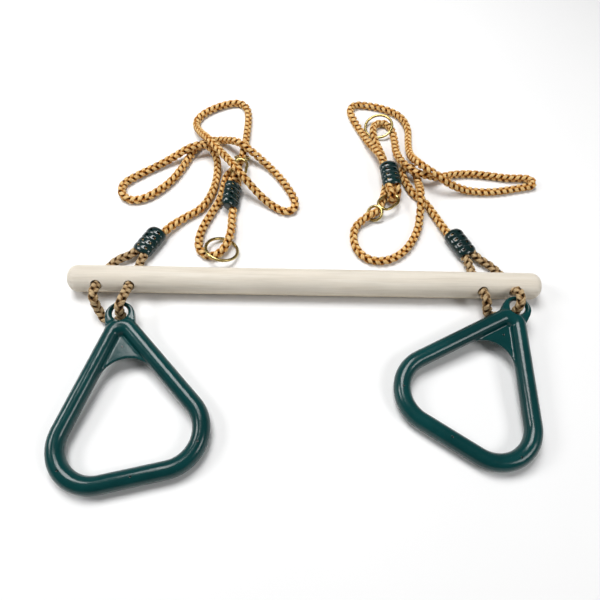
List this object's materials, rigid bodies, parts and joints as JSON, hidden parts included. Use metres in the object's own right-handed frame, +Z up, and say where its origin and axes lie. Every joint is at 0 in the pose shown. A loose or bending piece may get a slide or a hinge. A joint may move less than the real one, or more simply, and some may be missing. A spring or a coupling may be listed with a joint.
{
  "type": "trapeze bar with gym rings",
  "caption": "Wooden trapeze bar for a swing frame with triangular plastic gym rings on adjustable braided ropes, shown laid out with the ropes bundled behind it",
  "frame": {"origin": "the middle of the box of the bar and the gym rings, on the floor that the set lies on", "axes": "+X along the bar, -Y towards the gym rings, +Y towards the bundled ropes, +Z up"},
  "size_m": [0.6265, 0.5937, 0.0423],
  "materials": {
    "turned_wood": "clear-sealed pale turned wood with a faint grain",
    "green_plastic": "glossy moulded dark green plastic",
    "sleeve_plastic": "glossy moulded blackish green plastic",
    "plated_steel": "yellow zinc plated steel wire",
    "braided_rope": "braided polypropylene rope in a hemp colour"
  },
  "bodies": {
    "root": {"wooden_bar": "turned_wood", "left_lower_sleeve_top": "sleeve_plastic", "left_lower_sleeve_base": "sleeve_plastic", "left_upper_sleeve_top": "sleeve_plastic", "left_upper_sleeve_base": "sleeve_plastic", "right_lower_sleeve_top": "sleeve_plastic", "right_lower_sleeve_base": "sleeve_plastic", "right_upper_sleeve_top": "sleeve_plastic", "right_upper_sleeve_base": "sleeve_plastic", "left_bar_rope": "braided_rope", "left_end_rope": "braided_rope", "left_hank_rope": "braided_rope", "right_bar_rope": "braided_rope", "right_end_rope": "braided_rope", "right_hank_rope": "braided_rope", "left_rope_adjuster": "plated_steel", "right_rope_adjuster": "plated_steel"},
    "left_gym_ring_body": {"left_gym_ring": "green_plastic"},
    "left_top_ring_body": {"left_top_ring": "plated_steel"},
    "right_gym_ring_body": {"right_gym_ring": "green_plastic"},
    "right_top_ring_body": {"right_top_ring": "plated_steel"}
  },
  "joints": [
    {"name": "left_gym_ring_lift", "type": "hinge", "parent": "root", "child": "left_gym_ring_body", "pos_m": [-0.21824, 0.06574, 0.024], "axis": [-0.9759, -0.2181, 0], "range_deg": [0, 35]},
    {"name": "left_top_ring_turn", "type": "hinge", "parent": "root", "child": "left_top_ring_body", "pos_m": [-0.1106, 0.1687, 0.0083], "axis": [0.215, 0.215, 0.9527], "continuous": true},
    {"name": "right_gym_ring_lift", "type": "hinge", "parent": "root", "child": "right_gym_ring_body", "pos_m": [0.25215, 0.08127, 0.024], "axis": [-0.8348, 0.5505, 0], "range_deg": [0, 35]},
    {"name": "right_top_ring_turn", "type": "hinge", "parent": "root", "child": "right_top_ring_body", "pos_m": [0.1129, 0.4055, 0.0083], "axis": [-0.249, -0.1744, 0.9527], "continuous": true}
  ]
}
